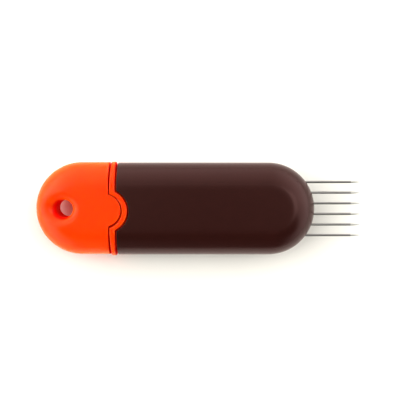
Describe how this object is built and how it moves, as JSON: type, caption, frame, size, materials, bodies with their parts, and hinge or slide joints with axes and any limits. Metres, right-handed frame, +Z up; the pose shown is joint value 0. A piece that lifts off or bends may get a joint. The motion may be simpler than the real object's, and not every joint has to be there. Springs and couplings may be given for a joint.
{
  "type": "retractable scoring tool",
  "caption": "Flat round-ended pocket scoring tool for clay; pulling the end cap draws its row of fine needles back inside the handle, and a lanyard hole pierces the cap.",
  "frame": {"origin": "centre of the handle's flat underside, on the surface that it rests on, midway between the cap's tail and the nose", "axes": "+X along the handle towards the needle tips, +Y across its width, +Z up out of its broad face"},
  "size_m": [0.0893, 0.026, 0.0127],
  "materials": {
    "brown_plastic": "fine spark-eroded matt moulding",
    "orange_plastic": "satin moulding, a little glossier than the brown shells",
    "black_plastic": "satin",
    "pale_acetal": "satin",
    "needle_steel": "drawn wire, ground at the tip",
    "spring_steel": "satin",
    "brass": "turned"
  },
  "bodies": {
    "handle": {"upper_shell": "brown_plastic", "lower_shell": "brown_plastic", "collar": "orange_plastic", "needle_guide": "pale_acetal"},
    "carriage": {"cap_upper": "orange_plastic", "cap_lower": "orange_plastic", "slider": "orange_plastic", "needle_holder": "black_plastic", "needle_clamp": "black_plastic", "detent_spring": "spring_steel", "clamp_screw_1": "spring_steel", "clamp_screw_2": "spring_steel", "clamp_nut_1": "brass", "clamp_nut_2": "brass", "needle_1": "needle_steel", "needle_2": "needle_steel", "needle_3": "needle_steel", "needle_4": "needle_steel", "needle_5": "needle_steel", "needle_6": "needle_steel"}
  },
  "joints": [
    {"name": "needle_slide", "type": "slide", "parent": "handle", "child": "carriage", "axis": [1, 0, 0], "range_m": [-0.017, 0], "deforming": ["detent_spring"]}
  ]
}
